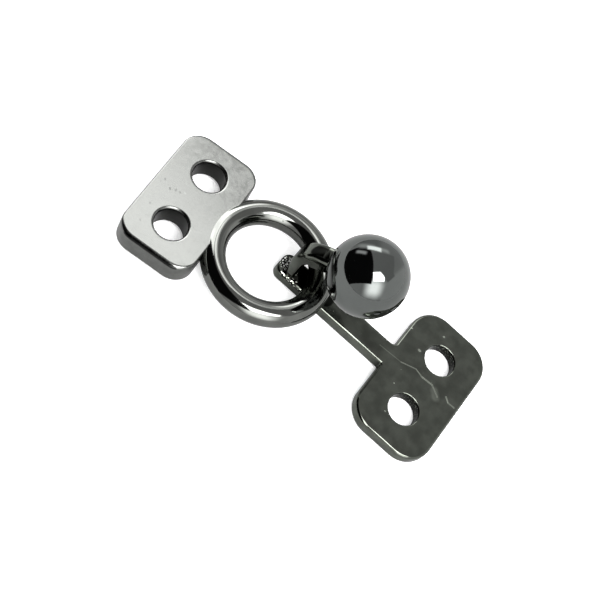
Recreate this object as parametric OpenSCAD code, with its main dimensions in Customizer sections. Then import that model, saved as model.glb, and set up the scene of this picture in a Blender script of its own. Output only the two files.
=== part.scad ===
// Sew-on hook and eye clasp, shown fastened and lying on a table.
// The hook half is a thin plate with a stem, and an arm that carries a ball.
// The eye half is a thicker tab with a round ring, which lies over the stem under the ball.
// Origin: middle of the hook plate's underside. +X runs from the eye tab to the hook plate,
// +Y across the clasp and +Z up. Millimetres.

/* [Hook plate] */
// Length of the hook plate along the clasp
plate_length = 9.0; // [8:0.1:11]
// Width of the hook plate across the clasp
plate_width = 15.8; // [14:0.1:19]
// Thickness of the hook plate and of its stem
plate_thickness = 1.4; // [1:0.05:1.8]
// Radius of the plate's four corners, seen from above
plate_corner_radius = 2.8; // [1.5:0.1:3.8]
// Rounding of the plate's top and bottom edges
plate_edge_radius = 0.3; // [0.1:0.05:0.45]
// Diameter of the plate's sewing holes
plate_hole_diameter = 3.3; // [2.4:0.1:4]
// Distance between the middles of the plate's sewing holes
plate_hole_spacing = 7.2; // [6:0.1:8.5]

/* [Stem] */
// Length of the stem from the plate's edge to its tip
stem_length = 14.2; // [13:0.1:18]
// Width of the stem
stem_width = 2.7; // [2.2:0.1:3.4]
// Corner radius of the stem's tip, seen from above
stem_tip_radius = 0.9; // [0.5:0.05:1]

/* [Arm] */
// Thickness of the arm that rises from the stem
arm_thickness = 1.3; // [1.1:0.05:1.6]
// Width of the arm, across the clasp
arm_width = 2.3; // [1.8:0.1:2.6]
// Rounding of the arm's long edges
arm_edge_radius = 0.35; // [0.1:0.05:0.45]
// Thickness of the arm's foot, where it leaves the stem
foot_thickness = 1.0; // [0.8:0.05:1.4]
// Width of the arm's foot
foot_width = 1.9; // [1.4:0.1:2.3]
// Distance that the arm leans out between its foot and its bend
foot_lean = 0.3; // [0:0.05:0.5]
// Distance from the stem's tip to the arm's outer face
arm_setback = 0.7; // [0.2:0.05:1]
// Bend radius along the middle of the arm
arm_bend_radius = 3.4; // [2.5:0.1:3.6]
// Slope of the arm where it runs up to the ball, in degrees
arm_slope = 28; // [22:1:34]

/* [Ball] */
// Diameter of the ball
ball_diameter = 8.1; // [7.4:0.1:8.4]
// Distance from the hook plate's edge to the ball's middle
ball_reach = 7.0; // [6.5:0.1:8]
// Free height between the top of the stem and the ball
ball_clear_height = 3.5; // [2.9:0.1:4.5]
// Diameter of the arm's peg, which the ball is pressed on
peg_diameter = 1.1; // [0.8:0.1:1.3]
// Length of that peg
peg_length = 2.2; // [1.5:0.1:3]
// Length of the peg's root, inside the arm
peg_root = 1.1; // [0.8:0.1:1.5]
// Clearance between the ball and the arm, all round
ball_clearance = 0.05; // [0.03:0.01:0.1]

/* [Eye tab] */
// Length of the eye tab along the clasp
tab_length = 8.3; // [7:0.1:10]
// Width of the eye tab across the clasp
tab_width = 14.9; // [13:0.1:18]
// Thickness of the eye tab
tab_thickness = 2.6; // [2:0.1:2.8]
// Radius of the tab's four corners, seen from above
tab_corner_radius = 2.1; // [1.5:0.1:3.4]
// Rounding of the tab's top and bottom edges
tab_edge_radius = 0.5; // [0.2:0.05:0.8]
// Diameter of the tab's sewing holes
tab_hole_diameter = 3.4; // [2.4:0.1:4]
// Distance between the middles of the tab's sewing holes
tab_hole_spacing = 7.0; // [6:0.1:8.5]
// Width of the chamfer round each end of every sewing hole
hole_chamfer = 0.2; // [0.1:0.05:0.3]

/* [Ring] */
// Inner diameter of the ring
ring_inner_diameter = 8.6; // [8.5:0.1:9.6]
// Diameter of the ring's round wire
wire_diameter = 2.55; // [2.2:0.05:2.7]
// Depth that the ring's wire is fused into the tab
ring_overlap = 1.45; // [0.8:0.05:1.8]
// Gap between the ring's inside and the arm's rounded corner
ring_gap = 0.11; // [0.05:0.01:0.4]
// Direction from the ring's middle to the arm it hangs on, in degrees from +X
ring_side_angle = 51.5; // [45:0.5:60]
// Small gap between the ring and the stem that it lies on
rest_gap = 0.08; // [0.04:0.01:0.2]
// Turn of the eye half about the vertical, in degrees
eye_yaw = 4.5; // [0:0.1:8]

/* [Hidden] */
metal_dark = [0.27, 0.28, 0.28];
metal_light = [0.62, 0.63, 0.63];
$fn = 64;
corner_facets = 36;
edge_facets = 16;
// Short upright length at each end of the foot, and how far the run starts inside the bend
foot_end = 0.1;
run_lap = 0.3;
cut_margin = 1;

plate_edge_x = -plate_length / 2;
tip_x = plate_edge_x - stem_length;

ball_radius = ball_diameter / 2;
ball_x = plate_edge_x - ball_reach;
ball_z = plate_thickness + ball_clear_height + ball_radius;

// The arm: a leaning foot up to arm_x, a bend through 90 - arm_slope, and a straight run to
// the ball.
arm_x = tip_x + arm_setback + arm_thickness / 2;
arm_turn = 90 - arm_slope;
arm_tangent = arm_bend_radius * tan(arm_turn / 2);
arm_corner_z = ball_z - (ball_x - arm_x) * tan(arm_slope);
arm_bend_z = arm_corner_z - arm_tangent;
arm_run = (ball_x - arm_x) / cos(arm_slope) - arm_tangent;

ring_inner_radius = ring_inner_diameter / 2;
wire_radius = wire_diameter / 2;
ring_radius = ring_inner_radius + wire_radius;
// Distances along the eye, from the ring's middle back to the tab
tab_inner_x = -(ring_radius + wire_radius - ring_overlap);
tab_outer_x = tab_inner_x - tab_length;
tab_mid_x = (tab_inner_x + tab_outer_x) / 2;

// The ring's inside hangs on the arm's rounded far inner corner.
ring_reach = ring_inner_radius - ring_gap - arm_edge_radius;
ring_x = arm_x + arm_thickness / 2 - arm_edge_radius - ring_reach * cos(ring_side_angle);
ring_y = arm_width / 2 - arm_edge_radius - ring_reach * sin(ring_side_angle);

// The ring lies on the stem's far edge, and the tab's outer edge on the table.
stem_far_y = stem_width / 2 - ring_y;
ring_rest_x = sqrt(pow(ring_radius, 2) - pow(stem_far_y, 2));
rest_height = plate_thickness + rest_gap + wire_radius - tab_edge_radius;
rest_half = tab_thickness / 2 - tab_edge_radius;
rest_span = ring_rest_x - tab_outer_x - tab_edge_radius;
eye_tilt = atan2(rest_span, rest_half)
    - acos(rest_height / sqrt(pow(rest_span, 2) + pow(rest_half, 2)));
ring_z = plate_thickness + rest_gap + wire_radius - ring_rest_x * sin(eye_tilt);

// One corner of a slab: a round disc whose two rims are rounded.
module rounded_disc(radius, thickness, edge) {
    rotate_extrude($fn = corner_facets)
        union() {
            square([radius - edge, thickness]);
            for (z = [edge, thickness - edge])
                translate([radius - edge, z])
                    intersection() {
                        circle(r = edge, $fn = edge_facets);
                        translate([0, -edge]) square([edge, 2 * edge]);
                    }
        }
}

// A slab with rounded corners and edges, standing on z = 0 and centred on x and y.
module rounded_slab(length, width, thickness, corner, edge) {
    hull()
        for (x = [corner - length / 2, length / 2 - corner])
            for (y = [corner - width / 2, width / 2 - corner])
                translate([x, y, 0]) rounded_disc(corner, thickness, edge);
}

// A sewing hole along z with a chamfer at both ends, for cutting.
module sewing_hole(diameter, thickness) {
    radius = diameter / 2;
    mouth = radius + hole_chamfer + cut_margin;
    translate([0, 0, -cut_margin]) cylinder(h = thickness + 2 * cut_margin, r = radius);
    translate([0, 0, -cut_margin]) cylinder(h = hole_chamfer + cut_margin, r1 = mouth, r2 = radius);
    translate([0, 0, thickness - hole_chamfer])
        cylinder(h = hole_chamfer + cut_margin, r1 = radius, r2 = mouth);
}

// Two sewing holes, one each side of the clasp's middle line.
module sewing_holes(diameter, spacing, thickness) {
    for (side = [-1, 1])
        translate([0, side * spacing / 2, 0]) sewing_hole(diameter, thickness);
}

// Outline of the arm's section: thickness along x, width along y, rounded corners.
module arm_section(thickness = arm_thickness, width = arm_width) {
    half_t = thickness / 2;
    half_w = width / 2;
    union() {
        translate([-half_t + arm_edge_radius, -half_w])
            square([thickness - 2 * arm_edge_radius, width]);
        translate([-half_t, -half_w + arm_edge_radius])
            square([thickness, width - 2 * arm_edge_radius]);
        for (x = [-1, 1])
            for (y = [-1, 1])
                translate([x * (half_t - arm_edge_radius), y * (half_w - arm_edge_radius)])
                    circle(r = arm_edge_radius);
    }
}

// Places its children at the end of the arm's bend, with +Z along the run to the ball.
module along_arm_run() {
    translate([
        arm_x + arm_bend_radius * (1 - cos(arm_turn)),
        0,
        arm_bend_z + arm_bend_radius * sin(arm_turn)
    ])
        rotate([0, arm_turn, 0]) children();
}

// The foot, which widens as it leans out from inside the stem to the bend.
module arm_foot() {
    hull() {
        translate([arm_x + foot_lean, 0, plate_thickness / 2])
            linear_extrude(height = foot_end) arm_section(foot_thickness, foot_width);
        translate([arm_x, 0, arm_bend_z - foot_end])
            linear_extrude(height = foot_end) arm_section();
    }
}

// The foot, the bend and the sloping run, stopped just short of the ball, and the ball's peg.
module arm() {
    ball_start = arm_run - ball_radius;
    arm_foot();
    translate([arm_x + arm_bend_radius, 0, arm_bend_z])
        rotate([90, 0, 0])
            rotate_extrude(angle = -arm_turn, start = 180)
                translate([arm_bend_radius, 0]) arm_section();
    difference() {
        along_arm_run()
            translate([0, 0, -run_lap])
                linear_extrude(height = run_lap + ball_start + peg_length) arm_section();
        translate([ball_x, 0, ball_z]) sphere(r = ball_radius + ball_clearance);
    }
    along_arm_run()
        translate([0, 0, ball_start - peg_root])
            cylinder(h = peg_root + peg_length, d = peg_diameter);
}

module hook() {
    slab_overlap = plate_length / 2;
    color(metal_dark)
        union() {
            difference() {
                union() {
                    rounded_slab(plate_length, plate_width, plate_thickness,
                        plate_corner_radius, plate_edge_radius);
                    translate([(tip_x + plate_edge_x + slab_overlap) / 2, 0, 0])
                        rounded_slab(stem_length + slab_overlap, stem_width, plate_thickness,
                            stem_tip_radius, plate_edge_radius);
                }
                sewing_holes(plate_hole_diameter, plate_hole_spacing, plate_thickness);
            }
            arm();
        }
}

module ball() {
    color(metal_light)
        difference() {
            translate([ball_x, 0, ball_z]) sphere(r = ball_radius);
            along_arm_run()
                translate([0, 0, arm_run - ball_radius - cut_margin])
                    cylinder(h = peg_length + ball_clearance + cut_margin,
                        d = peg_diameter + 2 * ball_clearance);
        }
}

// Places its children in the eye's own frame: origin at the ring's middle, tab towards -x.
module in_eye_frame() {
    translate([ring_x, ring_y, ring_z])
        rotate([0, 0, eye_yaw])
            rotate([0, -eye_tilt, 0]) children();
}

module eye() {
    color(metal_light)
        in_eye_frame() {
            difference() {
                union() {
                    translate([tab_mid_x, 0, -tab_thickness / 2])
                        rounded_slab(tab_length, tab_width, tab_thickness,
                            tab_corner_radius, tab_edge_radius);
                    rotate_extrude() translate([ring_radius, 0]) circle(r = wire_radius);
                }
                translate([tab_mid_x, 0, -tab_thickness / 2])
                    sewing_holes(tab_hole_diameter, tab_hole_spacing, tab_thickness);
            }
        }
}

hook();
ball();
eye();
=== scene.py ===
"""Sew-on hook and eye clasp in black nickel, fastened and lying on a pale table.

The meshes are worked in millimetres in the clasp's own frame and scaled to metres when they
are finished. +X runs from the eye tab to the hook plate, +Y across the clasp and +Z up.
"""

import logging
import math
from collections.abc import Callable, Iterator
from contextlib import contextmanager
from dataclasses import dataclass
from enum import Enum

import bpy
from mathutils import Matrix, Vector


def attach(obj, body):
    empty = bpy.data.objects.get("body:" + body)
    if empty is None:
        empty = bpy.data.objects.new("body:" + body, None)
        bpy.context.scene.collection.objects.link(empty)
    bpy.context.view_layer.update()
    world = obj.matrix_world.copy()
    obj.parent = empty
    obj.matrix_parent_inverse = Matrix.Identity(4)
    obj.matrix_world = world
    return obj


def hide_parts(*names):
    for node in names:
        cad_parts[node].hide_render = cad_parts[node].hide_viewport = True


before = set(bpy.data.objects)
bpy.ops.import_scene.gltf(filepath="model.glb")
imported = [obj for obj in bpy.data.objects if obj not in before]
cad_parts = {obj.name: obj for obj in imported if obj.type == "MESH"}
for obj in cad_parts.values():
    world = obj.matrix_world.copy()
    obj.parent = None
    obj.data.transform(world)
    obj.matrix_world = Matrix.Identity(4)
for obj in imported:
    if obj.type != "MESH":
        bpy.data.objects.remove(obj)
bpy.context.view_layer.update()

METRES_PER_MM = 0.001
# Places closer than this are the same one, in millimetres
SAME_PLACE = 0.01
# A face looks along an axis where its normal has at least this much of it
FACING = 0.9
# An edge stays sharp, or has its rim rounded, where its faces turn by more than this
CREASE_ANGLE = math.radians(40)
SOCKETS = {
    float: "NodeSocketFloat",
    Vector: "NodeSocketVector",
}
log = logging.getLogger("clasp")

Point = tuple[float, float, float]


def everything(*where: Vector) -> bool:
    """Picks every element of a mesh."""
    return True


class Join(Enum):
    """How a second solid is combined with the workpiece."""

    UNION = "UNION"
    DIFFERENCE = "DIFFERENCE"


class Pick(Enum):
    """Which kind of element a selection is made of."""

    FACE = "FACE"
    EDGE = "EDGE"
    VERT = "VERT"


class Workpiece:
    """One mesh, in millimetres, shaped with the modelling operators."""

    def __init__(self, obj: bpy.types.Object) -> None:
        """Keeps the object that a primitive operator has just added.

        Args:
            obj: the mesh object to work on.
        """
        self.obj = obj

    @classmethod
    def _added(cls, name: str) -> "Workpiece":
        """Names the newest primitive and applies its place and size.

        Args:
            name: the object's name.

        Returns:
            The workpiece round that object.
        """
        obj = bpy.context.object
        obj.name = name
        obj.data.name = name
        bpy.ops.object.transform_apply(location=True, rotation=True, scale=True)
        return cls(obj)

    @classmethod
    def block(cls, name: str, size: Point, centre: Point) -> "Workpiece":
        """Adds a rectangular block.

        Args:
            name: the object's name.
            size: its length along x, y and z.
            centre: its middle.

        Returns:
            The new workpiece.
        """
        bpy.ops.object.select_all(action="DESELECT")
        bpy.ops.mesh.primitive_cube_add(size=1, location=centre)
        bpy.context.object.scale = size
        return cls._added(name)

    @classmethod
    def rod(cls, name: str, radius: float, length: float, centre: Point, sides: int) -> "Workpiece":
        """Adds an upright round rod.

        Args:
            name: the object's name.
            radius: the rod's radius.
            length: its length along z.
            centre: its middle.
            sides: the number of flats round it.

        Returns:
            The new workpiece.
        """
        bpy.ops.object.select_all(action="DESELECT")
        bpy.ops.mesh.primitive_cylinder_add(vertices=sides, radius=radius, depth=length, location=centre)
        return cls._added(name)

    @classmethod
    def ring(cls, name: str, radius: float, wire: float, steps: int, sides: int) -> "Workpiece":
        """Adds a ring of round wire about the origin.

        Args:
            name: the object's name.
            radius: the radius of the wire's middle line.
            wire: the wire's own radius.
            steps: the number of steps round the ring.
            sides: the number of flats round the wire.

        Returns:
            The new workpiece.
        """
        bpy.ops.object.select_all(action="DESELECT")
        bpy.ops.mesh.primitive_torus_add(
            major_segments=steps, minor_segments=sides, major_radius=radius, minor_radius=wire
        )
        return cls._added(name)

    @classmethod
    def sheet(cls, name: str, length: float, width: float, centre: Point) -> "Workpiece":
        """Adds a flat rectangle that faces up.

        Args:
            name: the object's name.
            length: its length along x.
            width: its width along y.
            centre: its middle.

        Returns:
            The new workpiece.
        """
        bpy.ops.object.select_all(action="DESELECT")
        bpy.ops.mesh.primitive_plane_add(size=1, location=centre)
        bpy.context.object.scale = (length, width, 1)
        return cls._added(name)

    @classmethod
    def globe(cls, name: str, radius: float, centre: Point, cuts: int) -> "Workpiece":
        """Adds a ball of even square faces, blown up from a finely cut cube.

        Args:
            name: the object's name.
            radius: the ball's radius.
            centre: its middle.
            cuts: the number of cuts across each side of the cube.

        Returns:
            The new workpiece.
        """
        piece = cls.block(name, (2, 2, 2), (0, 0, 0))
        with piece.editing(Pick.FACE, everything):
            bpy.ops.mesh.subdivide(number_cuts=cuts)
            bpy.ops.transform.tosphere(value=1.0)
        length = sum(v.co.length for v in piece.obj.data.vertices) / len(piece.obj.data.vertices)
        piece.place(Matrix.Translation(centre) @ Matrix.Scale(radius / length, 4))
        return piece

    def activate(self) -> None:
        """Makes this the one selected and active object."""
        bpy.ops.object.select_all(action="DESELECT")
        self.obj.select_set(True)
        bpy.context.view_layer.objects.active = self.obj

    @contextmanager
    def editing(self, kind: Pick, test: Callable[..., bool]) -> Iterator[None]:
        """Opens edit mode with chosen elements selected.

        Args:
            kind: the kind of element that the test picks.
            test: takes a face's centre and normal, an edge's two ends or a vertex's place.

        Returns:
            Control, while the mesh is in edit mode.
        """
        self.activate()
        bpy.ops.object.mode_set(mode="EDIT")
        bpy.ops.mesh.select_mode(type=kind.value)
        bpy.ops.mesh.select_all(action="DESELECT")
        bpy.ops.object.mode_set(mode="OBJECT")
        mesh = self.obj.data
        if kind is Pick.FACE:
            for face in mesh.polygons:
                face.select = test(face.center, face.normal)
        elif kind is Pick.EDGE:
            places = [v.co for v in mesh.vertices]
            for edge in mesh.edges:
                edge.select = test(places[edge.vertices[0]], places[edge.vertices[1]])
        else:
            for vertex in mesh.vertices:
                vertex.select = test(vertex.co)
        bpy.ops.object.mode_set(mode="EDIT")
        yield
        bpy.ops.object.mode_set(mode="OBJECT")

    def bevel_edges(self, test: Callable[[Vector, Vector], bool], width: float, segments: int) -> None:
        """Rounds the chosen edges.

        Args:
            test: picks an edge by its two ends.
            width: the radius of the rounding.
            segments: the number of flats in it.
        """
        with self.editing(Pick.EDGE, test):
            bpy.ops.mesh.bevel(
                offset=width, segments=segments, profile=0.5, affect="EDGES", clamp_overlap=False
            )

    def soften_rims(self, width: float, segments: int, share: Callable[[Vector], float]) -> None:
        """Rounds every sharp edge at once.

        Args:
            width: the largest radius of the rounding.
            segments: the number of flats in it.
            share: takes the normal of the steeper of an edge's two faces, and gives the share of
                the width that is used there.
        """
        mesh = self.obj.data
        faces_of: dict[tuple[int, int], list[Vector]] = {}
        for face in mesh.polygons:
            for key in face.edge_keys:
                faces_of.setdefault(key, []).append(face.normal)
        weights = mesh.attributes.new("bevel_weight_edge", "FLOAT", "EDGE")
        for edge in mesh.edges:
            sides = faces_of[edge.key]
            if len(sides) == 2 and sides[0].angle(sides[1]) > CREASE_ANGLE:
                weights.data[edge.index].value = share(min(sides, key=lambda side: abs(side.z)))
        bevel = self.obj.modifiers.new("rims", "BEVEL")
        bevel.width = width
        bevel.segments = segments
        bevel.limit_method = "WEIGHT"
        bevel.use_clamp_overlap = False
        self.apply(bevel)
        mesh.attributes.remove(mesh.attributes["bevel_weight_edge"])

    def clean(self) -> None:
        """Merges doubles and turns the faces outwards."""
        with self.editing(Pick.FACE, everything):
            bpy.ops.mesh.remove_doubles(threshold=1e-5)
            bpy.ops.mesh.normals_make_consistent(inside=False)

    def clear_flat_seams(self) -> None:
        """Dissolves the edges that lie inside a flat face."""
        with self.editing(Pick.FACE, everything):
            bpy.ops.mesh.dissolve_limited(angle_limit=math.radians(0.5))

    def apply(self, modifier: bpy.types.Modifier) -> None:
        """Applies one modifier.

        Args:
            modifier: the modifier, which is on this workpiece.
        """
        self.activate()
        bpy.ops.object.modifier_apply(modifier=modifier.name)

    def combine(self, other: "Workpiece", how: Join) -> None:
        """Joins or cuts with another solid, which is used up.

        Args:
            other: the second solid.
            how: whether it is added or taken away.
        """
        boolean = self.obj.modifiers.new("combine", "BOOLEAN")
        boolean.operation = how.value
        boolean.solver = "EXACT"
        boolean.object = other.obj
        boolean.material_mode = "TRANSFER" if other.obj.data.materials else "INDEX"
        self.apply(boolean)
        bpy.data.objects.remove(other.obj, do_unlink=True)

    def place(self, matrix: Matrix) -> None:
        """Moves the mesh itself and leaves the object at the origin.

        Args:
            matrix: the move, turn or scale.
        """
        self.activate()
        self.obj.matrix_world = matrix
        bpy.ops.object.transform_apply(location=True, rotation=True, scale=True)

    def finish(self) -> bpy.types.Object:
        """Shades the mesh for a polished surface and brings it to metres.

        Returns:
            The finished object, at the origin.
        """
        self.clean()
        self.place(Matrix.Scale(METRES_PER_MM, 4))
        self.activate()
        bpy.ops.object.shade_smooth_by_angle(angle=CREASE_ANGLE)
        weighted = self.obj.modifiers.new("flat faces stay flat", "WEIGHTED_NORMAL")
        weighted.mode = "FACE_AREA"
        weighted.weight = 50
        weighted.keep_sharp = True
        self.apply(weighted)
        return self.obj


class NodeSheet:
    """Adds shader nodes to one tree in a short form."""

    def __init__(self, tree: bpy.types.NodeTree) -> None:
        """Keeps the tree.

        Args:
            tree: a material's, world's or group's node tree.
        """
        self.tree = tree

    def add(
        self, kind: str, inputs: dict[str | int, object] | None = None, **settings: object
    ) -> bpy.types.Node:
        """Adds a node, sets its options and fills or links its inputs.

        Args:
            kind: the node's type name without the ShaderNode at its start.
            inputs: a value or an output socket for each named or numbered input.
            settings: the node's own options.

        Returns:
            The new node.
        """
        node = self.tree.nodes.new("ShaderNode" + kind)
        for option, value in settings.items():
            setattr(node, option, value)
        for key, value in (inputs or {}).items():
            if isinstance(value, bpy.types.NodeSocket):
                self.tree.links.new(value, node.inputs[key])
            else:
                node.inputs[key].default_value = value
        return node

    def math(self, operation: str, *values: object) -> bpy.types.NodeSocket:
        """Adds a Math node.

        Args:
            operation: the Math node's operation.
            values: its inputs in order, each a number or a socket.

        Returns:
            Its output.
        """
        return self.add("Math", dict(enumerate(values)), operation=operation).outputs[0]

    def vector(self, operation: str, *values: object, scale: object = None) -> bpy.types.NodeSocket:
        """Adds a Vector Math node.

        Args:
            operation: the node's operation.
            values: its vectors in order, each a vector or a socket.
            scale: the factor of a SCALE.

        Returns:
            Its output.
        """
        inputs: dict[str | int, object] = dict(enumerate(values))
        if scale is not None:
            inputs["Scale"] = scale
        node = self.add("VectorMath", inputs, operation=operation)
        return node.outputs["Value" if operation in ("DOT_PRODUCT", "DISTANCE") else "Vector"]

    def ramp(
        self, value: object, start: object, end: object, low: object = 0.0, high: object = 1.0
    ) -> bpy.types.NodeSocket:
        """Adds a smooth step between two values.

        Args:
            value: what is measured.
            start: where the result is low.
            end: where the result is high.
            low: the result at the start.
            high: the result at the end.

        Returns:
            The stepped value.
        """
        inputs = {"Value": value, "From Min": start, "From Max": end, "To Min": low, "To Max": high}
        return self.add("MapRange", inputs, interpolation_type="SMOOTHSTEP").outputs["Result"]

    def group(self, tree: bpy.types.NodeTree, inputs: dict[str, object]) -> bpy.types.Node:
        """Places a node group.

        Args:
            tree: the group.
            inputs: a value or an output socket for each named input.

        Returns:
            The group's node.
        """
        return self.add("Group", inputs, node_tree=tree)


class EffectGroup:
    """A shader node group with named inputs and outputs, built once."""

    def __init__(self, name: str, inputs: dict[str, type], outputs: dict[str, type]) -> None:
        """Makes the empty group.

        Args:
            name: the group's name.
            inputs: the type of each named input.
            outputs: the type of each named output.
        """
        self.tree = bpy.data.node_groups.new(name, "ShaderNodeTree")
        for key, kind in inputs.items():
            self.tree.interface.new_socket(name=key, in_out="INPUT", socket_type=SOCKETS[kind])
        for key, kind in outputs.items():
            self.tree.interface.new_socket(name=key, in_out="OUTPUT", socket_type=SOCKETS[kind])
        self.sheet = NodeSheet(self.tree)
        self.inputs = self.tree.nodes.new("NodeGroupInput").outputs
        self.results = self.tree.nodes.new("NodeGroupOutput").inputs

    def give(self, key: str, value: bpy.types.NodeSocket) -> None:
        """Links a result to a named output.

        Args:
            key: the output's name.
            value: the socket that feeds it.
        """
        self.tree.links.new(value, self.results[key])


class Effects:
    """The effects that the finishes and the studio share."""

    # Share of a pit's radius that lies at its full depth
    PIT_CORE = 0.4
    # Share of the cells that hold no pit
    PITLESS_SHARE = 0.45

    def __init__(self) -> None:
        """Builds every group once."""
        self.polish = self._polish()
        self.stroke = self._stroke()
        self.card = self._card()

    @staticmethod
    def _polish() -> bpy.types.NodeTree:
        """Builds the tumbled polish: faint mottling, fine grain and small pits.

        Returns:
            The group's tree.
        """
        effect = EffectGroup(
            "tumbled_polish",
            {"Place": Vector, "Mottle Size": float, "Grain Size": float, "Pit Spacing": float,
             "Pit Radius": float},
            {"Mottle": float, "Grain": float, "Pits": float},
        )
        sheet, given = effect.sheet, effect.inputs
        for result, size, options in (
            ("Mottle", "Mottle Size", {"Detail": 3.0, "Roughness": 0.55}),
            ("Grain", "Grain Size", {"Detail": 2.0}),
        ):
            scale = sheet.math("DIVIDE", 1.0, given[size])
            noise = sheet.add("TexNoise", {"Vector": given["Place"], "Scale": scale, **options})
            effect.give(result, noise.outputs["Fac"])
        spacing = sheet.math("DIVIDE", 1.0, given["Pit Spacing"])
        cells = sheet.add("TexVoronoi", {"Vector": given["Place"], "Scale": spacing}, feature="F1")
        away = sheet.math("MULTIPLY", cells.outputs["Distance"], given["Pit Spacing"])
        chance = sheet.add("SeparateColor", {"Color": cells.outputs["Color"]})
        radius = sheet.math("MULTIPLY", given["Pit Radius"], chance.outputs["Red"])
        pits = sheet.ramp(away, radius, sheet.math("MULTIPLY", radius, Effects.PIT_CORE))
        kept = sheet.math("GREATER_THAN", chance.outputs["Green"], Effects.PITLESS_SHARE)
        effect.give("Pits", sheet.math("MULTIPLY", pits, kept))
        return effect.tree

    @staticmethod
    def _stroke() -> bpy.types.NodeTree:
        """Builds one straight stroke between two points, which is a round spot where they meet.

        Returns:
            The group's tree.
        """
        effect = EffectGroup(
            "stroke",
            {"Place": Vector, "Start": Vector, "End": Vector, "Inner": float, "Outer": float},
            {"Mask": float},
        )
        sheet, given = effect.sheet, effect.inputs
        along = sheet.vector("SUBTRACT", given["End"], given["Start"])
        from_start = sheet.vector("SUBTRACT", given["Place"], given["Start"])
        reach = sheet.vector("DOT_PRODUCT", from_start, along)
        square = sheet.vector("DOT_PRODUCT", along, along)
        share = sheet.add("Clamp", {"Value": sheet.math("DIVIDE", reach, square)}).outputs[0]
        foot = sheet.vector("SCALE", along, scale=share)
        away = sheet.vector("DISTANCE", from_start, foot)
        effect.give("Mask", sheet.ramp(away, given["Outer"], given["Inner"]))
        return effect.tree

    @staticmethod
    def _card() -> bpy.types.NodeTree:
        """Builds one soft-edged studio card, hung in front of what is already in the room.

        The sky is laid out flat in degrees: overhead is its middle, and the horizon is 90 out.

        Returns:
            The group's tree.
        """
        effect = EffectGroup(
            "studio_card",
            {"Sky": Vector, "Behind": float, "Centre": Vector, "Turn": float, "Half Length": float,
             "Half Width": float, "Softness": float, "Radiance": float},
            {"Light": float},
        )
        sheet, given = effect.sheet, effect.inputs
        away = sheet.vector("SUBTRACT", given["Sky"], given["Centre"])
        turn = sheet.math("RADIANS", sheet.math("MULTIPLY", given["Turn"], -1.0))
        local = sheet.add("VectorRotate", {"Vector": away, "Angle": turn}, rotation_type="Z_AXIS").outputs[0]
        along = sheet.add("SeparateXYZ", {0: local}).outputs
        mask: object = 1.0
        for axis, half in (("X", "Half Length"), ("Y", "Half Width")):
            outer = sheet.math("ADD", given[half], given["Softness"])
            inner = sheet.math("SUBTRACT", given[half], given["Softness"])
            edge = sheet.ramp(sheet.math("ABSOLUTE", along[axis]), outer, inner)
            mask = sheet.math("MULTIPLY", mask, edge)
        change = sheet.math("SUBTRACT", given["Radiance"], given["Behind"])
        effect.give("Light", sheet.math("ADD", given["Behind"], sheet.math("MULTIPLY", mask, change)))
        return effect.tree


@dataclass(frozen=True)
class Scratch:
    """One scratch or pit, in millimetres in the clasp's frame, and how bright it is."""

    start: Point
    end: Point
    width: float
    strength: float = 1.0


@dataclass(frozen=True)
class PaintedLight:
    """A stretch of painted shade round a line, in millimetres in the clasp's frame.

    The shade is what is left of the metal's brightness, and the glints are painted highlights on its grains.
    """

    start: Point
    end: Point
    inner: float
    outer: float
    shade: float
    glints: float = 0.0


PLATE_SCRATCHES = (
    Scratch((-5.73, 0.16, 1.4), (-3.04, 0.32, 1.4), 0.08, 0.35),
    Scratch((-3.04, 0.32, 1.4), (-1.42, 0.89, 1.4), 0.1, 0.7),
    Scratch((-1.42, 0.89, 1.4), (-0.46, 0.66, 1.4), 0.11, 0.8),
    Scratch((-0.46, 0.66, 1.4), (0.83, 0.75, 1.4), 0.15, 0.8),
    Scratch((0.83, 0.75, 1.4), (1.95, 0.1, 1.4), 0.17, 0.7),
    Scratch((1.35, 0.4, 1.4), (1.85, -0.1, 1.4), 0.6, 0.35),
    Scratch((2.67, 0.8, 1.4), (3.19, 0.42, 1.4), 0.14, 0.8),
    Scratch((3.19, 0.42, 1.4), (3.97, 0.46, 1.4), 0.14, 0.6),
    Scratch((-1.12, 6.1, 1.4), (-1.1, 6.1, 1.4), 0.17, 1.0),
    Scratch((-2.34, 2.85, 1.4), (-2.2, 2.85, 1.4), 0.2, 0.9),
    Scratch((-4.26, 4.28, 1.4), (-4.2, 4.28, 1.4), 0.12, 0.9),
    Scratch((-2.32, -2.09, 1.4), (-2.3, -2.09, 1.4), 0.12, 0.8),
    Scratch((-1.35, -5.2, 1.4), (-1.3, -5.2, 1.4), 0.13, 0.8),
)
# Painted shade on the hook half: the dark stem tip and its near rim with painted glints, painted shadow
# under the arm's bend, a stem darker towards the ball, and a painted dark reflection on the arm's top
HOOK_PAINTED_SHADE = (
    PaintedLight((-17.8, 0.0, 1.1), (-17.4, -0.1, 1.1), 0.85, 1.0, 0.1, glints=1.0),
    PaintedLight((-17.6, -1.15, 1.35), (-16.2, -1.15, 1.35), 0.28, 0.42, 0.15, glints=0.9),
    PaintedLight((-16.2, -1.15, 1.35), (-15.2, -1.15, 1.35), 0.28, 0.42, 0.25, glints=0.3),
    PaintedLight((-17.3, 0.0, 0.9), (-13.0, 0.0, 0.9), 1.05, 1.25, 0.12),
    PaintedLight((-13.0, 0.0, 0.9), (-6.3, 0.0, 0.9), 0.8, 1.35, 0.75),
    PaintedLight((-16.6, -0.15, 6.75), (-13.6, -0.15, 8.4), 0.55, 0.85, 0.08),
)
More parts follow.
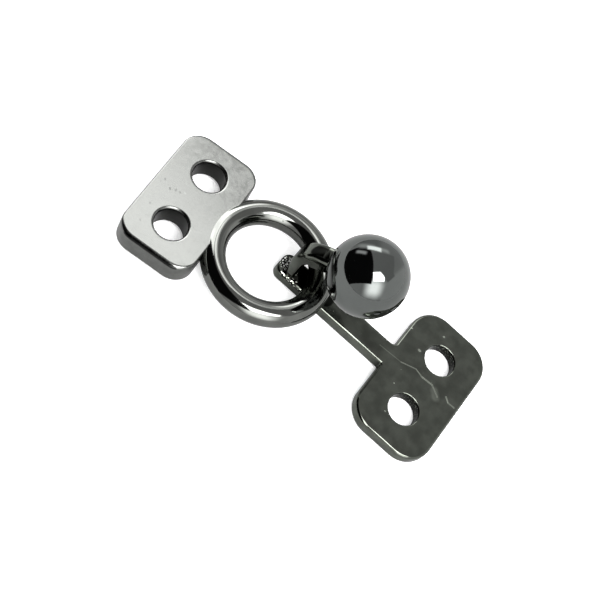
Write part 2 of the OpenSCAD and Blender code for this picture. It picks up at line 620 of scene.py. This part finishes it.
# Painted shade for small dark pits on the tab's face, in colour only; the last one, above 1, is a painted
# highlight
TAB_PIT_SHADE_AND_GLINT = (
    PaintedLight((-32.25, -2.95, 2.63), (-32.2, -3.0, 2.63), 0.02, 0.14, 0.6),
    PaintedLight((-31.28, -3.43, 2.71), (-31.2, -3.5, 2.71), 0.02, 0.17, 0.6),
    PaintedLight((-30.31, -3.06, 2.79), (-30.25, -3.1, 2.79), 0.02, 0.13, 0.65),
    PaintedLight((-30.75, -3.1, 2.75), (-30.7, -3.25, 2.75), 0.02, 0.15, 0.7),
    PaintedLight((-31.68, -6.1, 2.66), (-31.6, -6.2, 2.66), 0.02, 0.12, 0.75),
    PaintedLight((-31.21, -8.27, 2.68), (-31.1, -8.35, 2.68), 0.02, 0.12, 0.75),
    PaintedLight((-29.9, -2.78, 2.83), (-29.85, -2.8, 2.83), 0.04, 0.15, 1.15),
)


@dataclass(frozen=True)
class SewingHoles:
    """A plate's two sewing holes, with rounded rims and painted shade on their walls. Sizes in millimetres.
    """

    radius: float
    spacing: float
    rim: float
    rim_flats: int
    wall_drop: float
    wall_inner: float
    wall_outer: float
    # Painted shade and painted glints on the hole walls
    wall_shade: float
    wall_glints: float = 0.0

    def _axes(self, x: float) -> list[Vector]:
        """Returns where the two axes cross the plate, which has its holes at x."""
        return [Vector((x, side * self.spacing / 2, 0)) for side in (-1, 1)]

    def drill(self, body: Workpiece, x: float, thickness: float) -> None:
        """Drills both holes and rounds their rims.

        Args:
            body: the plate.
            x: where the holes lie along x.
            thickness: the plate's thickness.
        """
        for axis in self._axes(x):
            drill = Workpiece.rod("drill", self.radius, 3 * thickness, axis, sides=96)
            body.combine(drill, Join.DIFFERENCE)
            body.bevel_edges(
                lambda a, b: all(abs((p.xy - axis.xy).length - self.radius) < SAME_PLACE for p in (a, b))
                and abs(a.z - b.z) < SAME_PLACE,
                self.rim,
                self.rim_flats,
            )

    def wall_top(self, face: float) -> float:
        """Returns how high the painted wall shade reaches below a face."""
        return face - self.rim - self.wall_drop

    def painted_wall_shade(self, x: float, low: float, high: float, lie: Matrix) -> tuple[PaintedLight, ...]:
        """Gives the painted shade on the walls of both holes.

        Args:
            x: where the holes lie along x.
            low: where the painted shade begins.
            high: where it ends.
            lie: how the plate lies.

        Returns:
            One patch a hole.
        """
        return tuple(
            PaintedLight(
                tuple(lie @ Vector((axis.x, axis.y, low))), tuple(lie @ Vector((axis.x, axis.y, high))),
                self.radius + self.wall_inner, self.radius + self.wall_outer, self.wall_shade,
                glints=self.wall_glints,
            )
            for axis in self._axes(x)
        )


@dataclass(frozen=True)
class BallSeat:
    """Where the ball sits on the arm, and the peg between them. Sizes in millimetres."""

    centre: Point = (-11.5, 0.0, 8.95)
    radius: float = 4.05
    slope: float = math.radians(28.0)
    peg_radius: float = 0.55

    def along(self) -> Vector:
        """Returns the direction in which the arm runs up to the ball."""
        return Vector((math.cos(self.slope), 0, math.sin(self.slope)))

    def lay(self, middle: Vector) -> Matrix:
        """Returns the move that lays an upright rod along the arm's end about a middle."""
        return Matrix.Translation(middle) @ self.along().to_track_quat("Z", "Y").to_matrix().to_4x4()


@dataclass(frozen=True)
class NickelFinish:
    """Polished black nickel with its mottling, grain, scratches, painted shade and painted glints."""

    name: str
    colour: Point
    roughness: float
    mottle_size: float = 3.0
    mottle_share: float = 0.12
    mottle_low: float = 0.3
    mottle_high: float = 0.7
    rough_low: float = 0.35
    smoothest: float = 0.8
    roughest: float = 1.3
    grain_size: float = 0.16
    grain_height: float = 0.0006
    pit_spacing: float = 1.1
    pit_radius: float = 0.09
    pit_depth: float = 0.02
    scratch_core: float = 0.3
    scratch_gain: float = 2.2
    scratch_roughness: float = 0.25
    scratch_depth: float = 0.004
    # Painted glints: bright grains that the painted shade patches add to the colour
    glint_start: float = 0.56
    glint_full: float = 0.62
    glint_brightness: float = 8.0
    scratches: tuple[Scratch, ...] = ()
    # Painted shade and painted glints laid into the colour
    painted_light: tuple[PaintedLight, ...] = ()

    def material(self, effects: Effects) -> bpy.types.Material:
        """Builds the procedural material.

        Args:
            effects: the shared effect groups.

        Returns:
            The material.
        """
        made = bpy.data.materials.new(self.name)
        made.use_nodes = True
        made.node_tree.nodes.clear()
        sheet = NodeSheet(made.node_tree)
        here = sheet.add("TexCoord").outputs["Object"]
        place = sheet.vector("SCALE", here, scale=1 / METRES_PER_MM)
        polish = sheet.group(
            effects.polish,
            {"Place": place, "Mottle Size": self.mottle_size, "Grain Size": self.grain_size,
             "Pit Spacing": self.pit_spacing, "Pit Radius": self.pit_radius},
        ).outputs
        wear = self._wear(sheet, effects, place)
        # Painted shade and painted glints from the patches
        shade, glints = self._painted_shade_and_glints(sheet, effects, place, polish["Grain"])
        dark, light = 1 - self.mottle_share, 1 + self.mottle_share
        mottled = sheet.ramp(polish["Mottle"], self.mottle_low, self.mottle_high, dark, light)
        scratched = sheet.math("MULTIPLY", wear, self.scratch_gain)
        # Random mottle darkened by the painted shade, plus the brighter scratches
        worn_and_shaded = sheet.math("ADD", sheet.math("MULTIPLY", mottled, shade), scratched)
        brightness = sheet.math("ADD", worn_and_shaded, glints)
        colour = sheet.vector("SCALE", self.colour, scale=brightness)
        low, high = self.roughness * self.smoothest, self.roughness * self.roughest
        rough = sheet.math(
            "ADD",
            sheet.ramp(polish["Mottle"], self.rough_low, self.mottle_high, low, high),
            sheet.math("MULTIPLY", wear, self.scratch_roughness),
        )
        dents = sheet.math("MULTIPLY", polish["Pits"], -self.pit_depth)
        fine = sheet.math("MULTIPLY", polish["Grain"], self.grain_height)
        scored = sheet.math("MULTIPLY", wear, self.scratch_depth)
        height = sheet.math("SUBTRACT", sheet.math("ADD", dents, fine), scored)
        bump = sheet.add("Bump", {"Strength": 1.0, "Distance": METRES_PER_MM, "Height": height})
        shader = sheet.add(
            "BsdfPrincipled",
            {"Base Color": colour, "Metallic": 1.0, "Roughness": rough, "Normal": bump.outputs["Normal"]},
        )
        sheet.add("OutputMaterial", {"Surface": shader.outputs["BSDF"]})
        return made

    def _wear(self, sheet: NodeSheet, effects: Effects, place: bpy.types.NodeSocket) -> object:
        """Adds the scratches together.

        Args:
            sheet: the material's node sheet.
            effects: the shared effect groups.
            place: the surface point in millimetres.

        Returns:
            A mask, 1 where the metal is scratched.
        """
        wear: object = 0.0
        for mark in self.scratches:
            found = sheet.group(
                effects.stroke,
                {"Place": place, "Start": mark.start, "End": mark.end,
                 "Inner": self.scratch_core * mark.width, "Outer": mark.width},
            )
            mask = sheet.math("MULTIPLY", found.outputs["Mask"], mark.strength)
            wear = sheet.math("MAXIMUM", wear, mask)
        return wear

    def _painted_shade_and_glints(
        self, sheet: NodeSheet, effects: Effects, place: bpy.types.NodeSocket,
        grain: bpy.types.NodeSocket,
    ) -> tuple[object, object]:
        """Adds the painted shade patches and their painted glints together.

        Args:
            sheet: the material's node sheet.
            effects: the shared effect groups.
            place: the surface point in millimetres.
            grain: the metal's fine grain.

        Returns:
            The share of the brightness that is left under the painted shade, and what the painted glints add
            to it.
        """
        shade: object = 1.0
        glints: object = 0.0
        # Painted glints: the brightest grains, shown only inside painted shade patches
        glint_spots = sheet.ramp(grain, self.glint_start, self.glint_full, 0.0, self.glint_brightness)
        for painted in self.painted_light:
            mask = sheet.group(
                effects.stroke,
                {"Place": place, "Start": painted.start, "End": painted.end, "Inner": painted.inner,
                 "Outer": painted.outer},
            ).outputs["Mask"]
            shade = sheet.math("MULTIPLY", shade, sheet.ramp(mask, 0.0, 1.0, 1.0, painted.shade))
            if painted.glints:
                share = sheet.math("MULTIPLY", mask, painted.glints)
                glints = sheet.math("MAXIMUM", glints, sheet.math("MULTIPLY", glint_spots, share))
        return shade, glints


@dataclass
class HookHalf:
    """The hook half: sewing plate, stem and arm in one casting. Sizes in millimetres."""

    plate_length: float = 9.0
    plate_width: float = 15.8
    thickness: float = 1.4
    plate_corner: float = 2.8
    plate_rim: float = 0.3
    holes: SewingHoles = SewingHoles(
        radius=1.65, spacing=7.2, rim=0.16, rim_flats=4, wall_drop=0.2, wall_inner=0.04,
        wall_outer=0.14, wall_shade=0.08, wall_glints=0.12,
    )
    stem_length: float = 14.2
    stem_width: float = 2.7
    tip_corner: float = 0.9
    near_inner_corner: float = 0.15
    far_inner_corner: float = 0.5
    arm_thickness: float = 1.3
    arm_width: float = 2.3
    arm_corner: float = 0.35
    foot_thickness: float = 1.0
    foot_width: float = 1.9
    foot_lean: float = 0.3
    arm_x: float = -17.35
    arm_bend_radius: float = 3.4
    arm_web: float = 0.75
    arm_web_reach: float = 1.2
    arm_web_turn: float = 0.25
    seat: BallSeat = BallSeat()
    seat_gap: float = 0.02
    peg_depth: float = 2.2
    peg_root: float = 1.0

    def build(self, finish: bpy.types.Material) -> bpy.types.Object:
        """Models the casting and dresses it.

        Args:
            finish: its material.

        Returns:
            The finished object.
        """
        body = self._plate_and_stem()
        self.holes.drill(body, 0, self.thickness)
        body.combine(self._arm(), Join.UNION)
        obj = body.finish()
        obj.data.materials.append(finish)
        return obj

    def painted_bore_shade(self) -> tuple[PaintedLight, ...]:
        """Gives the painted shade on the sewing holes' walls, one patch a hole."""
        return self.holes.painted_wall_shade(0, 0, self.holes.wall_top(self.thickness), Matrix.Identity(4))

    def _plate_and_stem(self) -> Workpiece:
        """Cuts the flat outline and rounds its corners and rims.

        Returns:
            The plate with its stem.
        """
        edge_x = -self.plate_length / 2
        tip_x = edge_x - self.stem_length
        stem_y = self.stem_width / 2
        body = Workpiece.block(
            "hook_half", (self.plate_length, self.plate_width, self.thickness), (0, 0, self.thickness / 2)
        )
        for side in (-1, 1):
            with body.editing(Pick.FACE, everything):
                bpy.ops.mesh.bisect(plane_co=(0, side * stem_y, 0), plane_no=(0, 1, 0))
        with body.editing(Pick.FACE, lambda where, normal: normal.x < -FACING and abs(where.y) < stem_y):
            bpy.ops.mesh.extrude_region_move(TRANSFORM_OT_translate={"value": (-self.stem_length, 0, 0)})
        body.clear_flat_seams()

        def upright_at(x: float, y: float) -> Callable[[Vector, Vector], bool]:
            """Picks the upright edges at one corner of the outline."""
            corner = Vector((x, y))
            return lambda a, b: all((p.xy - corner).length < SAME_PLACE for p in (a, b))

        outer_y = self.plate_width / 2
        for x in (edge_x, -edge_x):
            for y in (-outer_y, outer_y):
                body.bevel_edges(upright_at(x, y), self.plate_corner, segments=20)
        for y in (-stem_y, stem_y):
            body.bevel_edges(upright_at(tip_x, y), self.tip_corner, segments=12)
        body.bevel_edges(upright_at(edge_x, -stem_y), self.near_inner_corner, segments=4)
        body.bevel_edges(upright_at(edge_x, stem_y), self.far_inner_corner, segments=8)
        body.soften_rims(self.plate_rim, segments=6, share=lambda outward: 1.0)
        return body

    def _arm(self) -> Workpiece:
        """Draws the arm up from the stem, round its bend and on to the ball.

        Returns:
            The arm, with its peg.
        """
        ball_x, _, ball_z = self.seat.centre
        slope = self.seat.slope
        turn = math.pi / 2 - slope
        foot = self.thickness / 2
        corner_z = ball_z - (ball_x - self.arm_x) * math.tan(slope)
        tangent = self.arm_bend_radius * math.tan(turn / 2)
        bend = Vector((self.arm_x + self.arm_bend_radius, 0, corner_z - tangent))
        run = (ball_x - self.arm_x) / math.cos(slope) - tangent
        root_x = self.arm_x + self.foot_lean
        arm = Workpiece.sheet("arm", self.foot_thickness, self.foot_width, (root_x, 0, foot))
        with arm.editing(Pick.VERT, everything):
            bpy.ops.mesh.bevel(offset=self.arm_corner, segments=8, profile=0.5, affect="VERTICES")
        with arm.editing(Pick.FACE, everything):
            bpy.ops.mesh.extrude_region_move(
                TRANSFORM_OT_translate={"value": (-self.foot_lean, 0, bend.z - foot)}
            )
            bpy.ops.transform.resize(
                value=(self.arm_thickness / self.foot_thickness, self.arm_width / self.foot_width, 1)
            )
            bpy.ops.mesh.spin(steps=32, dupli=False, angle=turn, center=bend, axis=(0, -1, 0))
            bpy.ops.mesh.extrude_region_move(
                TRANSFORM_OT_translate={"value": self.seat.along() * (run - self.seat.radius / 2)}
            )
        arm.clean()
        self._deepen(arm, bend)
        self._end(arm)
        return arm

    def _deepen(self, arm: Workpiece, bend: Vector) -> None:
        """Draws the underside down where the bend runs out.

        Args:
            arm: the plain arm.
            bend: the middle that its bend turns about.
        """
        inner = self.arm_bend_radius - self.arm_thickness / 2 + self.arm_corner + 2 * SAME_PLACE
        first = self.seat.slope - 2 * SAME_PLACE
        last = self.seat.slope + self.arm_web_turn

        def under_bend(where: Vector) -> bool:
            """Picks the underside where the bend runs out."""
            away = Vector((where.x - bend.x, 0, where.z - bend.z))
            return away.length < inner and first < math.atan2(-away.x, away.z) < last

        with arm.editing(Pick.VERT, under_bend):
            bpy.ops.transform.translate(
                value=(0, 0, -self.arm_web), use_proportional_edit=True,
                proportional_edit_falloff="SMOOTH", proportional_size=self.arm_web_reach,
            )

    def _end(self, arm: Workpiece) -> None:
        """Hollows the arm's end round the ball and adds the peg.

        Args:
            arm: the arm, which still runs into the ball.
        """
        seat = self.seat
        hollow = Workpiece.globe("seat", seat.radius + self.seat_gap, seat.centre, cuts=40)
        arm.combine(hollow, Join.DIFFERENCE)
        length = self.peg_depth + self.peg_root
        peg = Workpiece.rod("peg", seat.peg_radius - self.seat_gap, length, (0, 0, 0), sides=48)
        inward = seat.radius - self.peg_depth / 2 + self.peg_root / 2
        peg.place(seat.lay(Vector(seat.centre) - seat.along() * inward))
        arm.combine(peg, Join.UNION)


@dataclass
class HookBall:
    """The ball on the arm's end. Sizes in millimetres."""

    seat: BallSeat = BallSeat()
    socket_depth: float = 2.25

    def build(self, finish: bpy.types.Material) -> bpy.types.Object:
        """Models the ball with the socket for the arm's peg, and dresses it.

        Args:
            finish: its material.

        Returns:
            The finished object.
        """
        seat = self.seat
        ball = Workpiece.globe("hook_ball", seat.radius, seat.centre, cuts=71)
        drill = Workpiece.rod("drill", seat.peg_radius, 2 * self.socket_depth, (0, 0, 0), sides=48)
        drill.place(seat.lay(Vector(seat.centre) - seat.along() * seat.radius))
        ball.combine(drill, Join.DIFFERENCE)
        obj = ball.finish()
        obj.data.materials.append(finish)
        return obj


@dataclass
class EyeHalf:
    """The eye half: sewing tab and ring in one casting. Sizes in millimetres."""

    tab_length: float = 8.3
    tab_width: float = 14.9
    tab_thickness: float = 2.6
    tab_corner: float = 2.1
    tab_rim: float = 0.5
    crisp_share: float = 0.65
    holes: SewingHoles = SewingHoles(
        radius=1.7, spacing=7.0, rim=0.3, rim_flats=6, wall_drop=0.35, wall_inner=0.06,
        wall_outer=0.2, wall_shade=0.3,
    )
    line_drop: float = 0.125
    line_inner: float = 0.16
    line_outer: float = 0.26
    line_shade: float = 0.18
    ring_radius: float = 5.575
    wire_radius: float = 1.275
    ring_overlap: float = 1.45
    ring_rise: float = 0.23
    ring_centre: Point = (-19.440, -2.205, 2.397)
    tilt: float = 4.780
    yaw: float = 4.5

    def build(self, tab_finish: bpy.types.Material, ring_finish: bpy.types.Material) -> bpy.types.Object:
        """Models the casting and dresses it.

        Args:
            tab_finish: the tab's material.
            ring_finish: the ring's material.

        Returns:
            The finished object.
        """
        middle_x = self._middle_x()
        tab = Workpiece.block(
            "eye_half", (self.tab_length, self.tab_width, self.tab_thickness), (middle_x, 0, 0)
        )
        tab.bevel_edges(lambda a, b: (a - b).xy.length < SAME_PLACE, self.tab_corner, segments=20)
        tab.soften_rims(
            self.tab_rim, segments=8, share=lambda outward: 1 - self.crisp_share * outward.x ** 2
        )
        tab.obj.data.materials.append(tab_finish)
        ring = Workpiece.ring("ring", self.ring_radius, self.wire_radius, steps=224, sides=72)
        ring.obj.data.materials.append(ring_finish)
        lean = math.asin(self.ring_rise / (2 * self.ring_radius))
        ring.place(Matrix.Translation((0, 0, self.ring_rise / 2)) @ Matrix.Rotation(lean, 4, "Y"))
        tab.combine(ring, Join.UNION)
        self.holes.drill(tab, middle_x, self.tab_thickness)
        tab.place(self._lie())
        return tab.finish()

    def painted_bore_shade(self) -> tuple[PaintedLight, ...]:
        """Gives the painted shade on the sewing holes' walls, one patch a hole."""
        top = self.holes.wall_top(self.tab_thickness / 2)
        return self.holes.painted_wall_shade(self._middle_x(), -top, top, self._lie())

    def near_rim_shade(self) -> PaintedLight:
        """Gives the painted shade line under the near edge of the tab's face.

        Returns:
            The line, as one patch.
        """
        middle_x, reach = self._middle_x(), self.tab_length / 2 - self.tab_corner / 2
        y, z = self.line_drop - self.tab_width / 2, self.tab_thickness / 2 - self.line_drop
        start, end = (tuple(self._lie() @ Vector((middle_x + side * reach, y, z))) for side in (-1, 1))
        return PaintedLight(start, end, self.line_inner, self.line_outer, self.line_shade)

    def _middle_x(self) -> float:
        """Returns the tab's middle along x, from the ring's centre."""
        return -(self.ring_radius + self.wire_radius - self.ring_overlap + self.tab_length / 2)

    def _lie(self) -> Matrix:
        """Works out how the eye half lies, with its ring raised on the stem.

        Returns:
            The move from the ring's own frame to the clasp's.
        """
        return (
            Matrix.Translation(self.ring_centre)
            @ Matrix.Rotation(math.radians(self.yaw), 4, "Z")
            @ Matrix.Rotation(-math.radians(self.tilt), 4, "Y")
        )


@dataclass(frozen=True)
class StudioCard:
    """One card or lamp round the studio, in degrees on the flat sky, and its radiance."""

    centre: Point
    turn: float
    half_length: float
    half_width: float
    softness: float
    radiance: float


@dataclass(frozen=True)
class PieceLamp:
    """One oblong lamp that lights one piece only. Lengths in millimetres, power in watts."""

    place: Point
    along: Point
    length: float
    width: float
    power: float


# Direction of the length of each lamp that lights the eye half
EYE_LAMP_ALONG: Point = (-0.41, -0.77, 0.48)


@dataclass
class Studio:
    """The pale table, the soft light and the camera. Places in millimetres."""

    floor_size: float = 6000.0
    floor_seen: float = 0.9
    floor_glow: float = 0.35
    floor_mirrored: float = 0.38
    overhead_strength: float = 2.7
    overhead_angle: float = 150.0
    room: float = 0.62
    eye_lamps: tuple[PieceLamp, ...] = (
        PieceLamp((-86, 281, 404.5), EYE_LAMP_ALONG, 150, 150, 0.08),
        PieceLamp((-110.2, 207.4, 413.4), EYE_LAMP_ALONG, 120, 120, 0.137),
        PieceLamp((-200, 135, 172), EYE_LAMP_ALONG, 175, 225, 0.58),
    )
    hook_lamps: tuple[PieceLamp, ...] = (
        PieceLamp((-12, -126, 272), (1, 0, 0), 70, 320, 0.6),
    )
    camera_place: Point = (-19.351, -80.173, 121.399)
    camera_right: Point = (0.74436, 0.54627, 0.38409)
    camera_up: Point = (-0.66698, 0.6364, 0.38747)
    camera_lens: float = 87.621
    camera_sensor: float = 36.0
    cards: tuple[StudioCard, ...] = (
        StudioCard((75, 20, 0), 0, 32, 60, 6, 0.92),
        StudioCard((-55, 75, 0), 0, 30, 25, 10, 0.42),
        StudioCard((33, -45, 0), -50, 21, 21, 16, 4.8),
        StudioCard((18.5, -15, 0), 47, 16, 12, 1, 12.0),
        StudioCard((4.4, 23.7, 0), -54, 25.5, 28.5, 1.5, 0.45),
        StudioCard((29, 10.5, 0), 0, 17, 14.5, 1.5, 0.45),
        StudioCard((-47.4, -20.9, 0), -54, 57, 39.5, 1.2, 0.01),
        StudioCard((-50, 44, 0), 12, 18, 8, 7, 1.1),
        StudioCard((-14, 54, 0), 25, 14, 5, 5, 1.3),
        StudioCard((-33, 44.5, 0), 18, 16, 6.5, 3, 4.6),
        StudioCard((-56, 18.5, 0), 5, 12, 5, 4, 1.2),
    )

    def build(self, effects: Effects) -> None:
        """Sets up the table, the lights and the camera.

        Args:
            effects: the shared effect groups.
        """
        self._table()
        self._room(effects)
        self._overhead()
        self._camera()
        settings = bpy.context.scene.view_settings
        settings.view_transform = "Standard"
        settings.look = "None"

    def _table(self) -> None:
        """Lays the plain pale table top under the clasp."""
        top = Workpiece.sheet("table_top", self.floor_size, self.floor_size, (0, 0, 0))
        top.place(Matrix.Scale(METRES_PER_MM, 4))
        made = bpy.data.materials.new("pale_table")
        made.use_nodes = True
        made.node_tree.nodes.clear()
        sheet = NodeSheet(made.node_tree)
        seen = sheet.add("LightPath").outputs["Is Camera Ray"]
        shade = sheet.add(
            "MapRange", {"Value": seen, "To Min": self.floor_mirrored, "To Max": self.floor_seen}
        ).outputs["Result"]
        matt = sheet.add("BsdfDiffuse", {"Color": shade, "Roughness": 0.0})
        glow = sheet.add("Emission", {"Strength": sheet.math("MULTIPLY", seen, self.floor_glow)})
        both = sheet.add("AddShader", {0: matt.outputs[0], 1: glow.outputs[0]})
        sheet.add("OutputMaterial", {"Surface": both.outputs[0]})
        top.obj.data.materials.append(made)

    def _room(self, effects: Effects) -> None:
        """Hangs the soft cards round the clasp in a grey room.

        Args:
            effects: the shared effect groups.
        """
        world = bpy.data.worlds.new("studio")
        bpy.context.scene.world = world
        world.use_nodes = True
        world.node_tree.nodes.clear()
        sheet = NodeSheet(world.node_tree)
        direction = sheet.add("TexCoord").outputs["Generated"]
        level = sheet.vector("MULTIPLY", direction, (1, 1, 0))
        outward = sheet.vector("NORMALIZE", level)
        height = sheet.add("SeparateXYZ", {0: direction}).outputs["Z"]
        from_overhead = sheet.math("DEGREES", sheet.math("ARCCOSINE", height))
        sky = sheet.vector("SCALE", outward, scale=from_overhead)
        light: object = self.room
        for card in self.cards:
            found = sheet.group(
                effects.card,
                {"Sky": sky, "Behind": light, "Centre": card.centre, "Turn": card.turn,
                 "Half Length": card.half_length, "Half Width": card.half_width,
                 "Softness": card.softness, "Radiance": card.radiance},
            )
            light = found.outputs["Light"]
        background = sheet.add("Background", {"Color": (1, 1, 1, 1), "Strength": light})
        sheet.add("OutputWorld", {"Surface": background.outputs[0]})

    def _overhead(self) -> None:
        """Adds the broad overhead light that whitens the table and shows in no reflection."""
        data = bpy.data.lights.new("overhead", "SUN")
        data.energy = self.overhead_strength
        data.angle = math.radians(self.overhead_angle)
        lamp = bpy.data.objects.new("overhead", data)
        lamp.visible_glossy = False
        bpy.context.scene.collection.objects.link(lamp)

    @staticmethod
    def light(piece: bpy.types.Object, lamps: tuple[PieceLamp, ...]) -> None:
        """Hangs the lamps that only one piece mirrors.

        Args:
            piece: the finished piece.
            lamps: its lamps, each placed from the piece's middle.
        """
        receivers = bpy.data.collections.new(f"{piece.name}_lamp_receivers")
        receivers.objects.link(piece)
        corners = [Vector(corner) for corner in piece.bound_box]
        target = sum(corners, Vector()) / len(corners)
        for index, kind in enumerate(lamps):
            data = bpy.data.lights.new(f"{piece.name}_lamp_{index}", "AREA")
            data.energy = kind.power
            data.shape = "RECTANGLE"
            data.size = kind.length * METRES_PER_MM
            data.size_y = kind.width * METRES_PER_MM
            lamp = bpy.data.objects.new(data.name, data)
            away = Vector(kind.place) * METRES_PER_MM
            outward = away.normalized()
            across = outward.cross(Vector(kind.along)).normalized()
            turn = Matrix((across.cross(outward), across, outward)).transposed().to_4x4()
            lamp.matrix_world = Matrix.Translation(target + away) @ turn
            lamp.light_linking.receiver_collection = receivers
            bpy.context.scene.collection.objects.link(lamp)

    def _camera(self) -> None:
        """Points the camera as the photograph's was."""
        data = bpy.data.cameras.new("camera")
        data.lens = self.camera_lens
        data.sensor_width = self.camera_sensor
        data.clip_start = 0.01
        data.clip_end = 50.0
        camera = bpy.data.objects.new("camera", data)
        right = Vector(self.camera_right).normalized()
        back = right.cross(Vector(self.camera_up)).normalized()
        turn = Matrix((right, back.cross(right), back)).transposed().to_4x4()
        camera.matrix_world = Matrix.Translation(Vector(self.camera_place) * METRES_PER_MM) @ turn
        bpy.context.scene.collection.objects.link(camera)
        bpy.context.scene.camera = camera


def settle(obj: bpy.types.Object, node: str) -> None:
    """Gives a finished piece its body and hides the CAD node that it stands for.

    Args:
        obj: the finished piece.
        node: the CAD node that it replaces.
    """
    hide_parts(node)
    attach(obj, "root")
    faces = sum(len(face.vertices) - 2 for face in obj.data.polygons)
    log.info("%s: %d triangles in place of %s", obj.name, faces, node)


def main() -> None:
    """Builds the studio and the three pieces in order."""
    logging.basicConfig(level=logging.INFO, format="%(name)s: %(message)s")
    effects = Effects()
    studio = Studio()
    studio.build(effects)
    hook_half, eye_half = HookHalf(), EyeHalf()
    dark = NickelFinish(
        "hook_black_nickel", (0.138, 0.148, 0.128), roughness=0.1, mottle_size=1.6, mottle_share=0.2,
        scratches=PLATE_SCRATCHES, painted_light=hook_half.painted_bore_shade() + HOOK_PAINTED_SHADE,
    )
    bright = NickelFinish(
        "ball_black_nickel", (0.166, 0.176, 0.170), roughness=0.05, mottle_share=0.05
    )
    pale = NickelFinish(
        "tab_black_nickel", (0.180, 0.184, 0.176), roughness=0.18, mottle_size=0.7, mottle_share=0.1,
        grain_size=0.4, grain_height=0.0016,
        painted_light=eye_half.painted_bore_shade() + (eye_half.near_rim_shade(),) + TAB_PIT_SHADE_AND_GLINT,
    )
    wire = NickelFinish("ring_black_nickel", (0.178, 0.183, 0.172), roughness=0.075)
    hook = hook_half.build(dark.material(effects))
    settle(hook, "hook")
    studio.light(hook, studio.hook_lamps)
    settle(HookBall().build(bright.material(effects)), "ball")
    eye = eye_half.build(pale.material(effects), wire.material(effects))
    settle(eye, "eye")
    studio.light(eye, studio.eye_lamps)


if __name__ == "__main__":
    main()
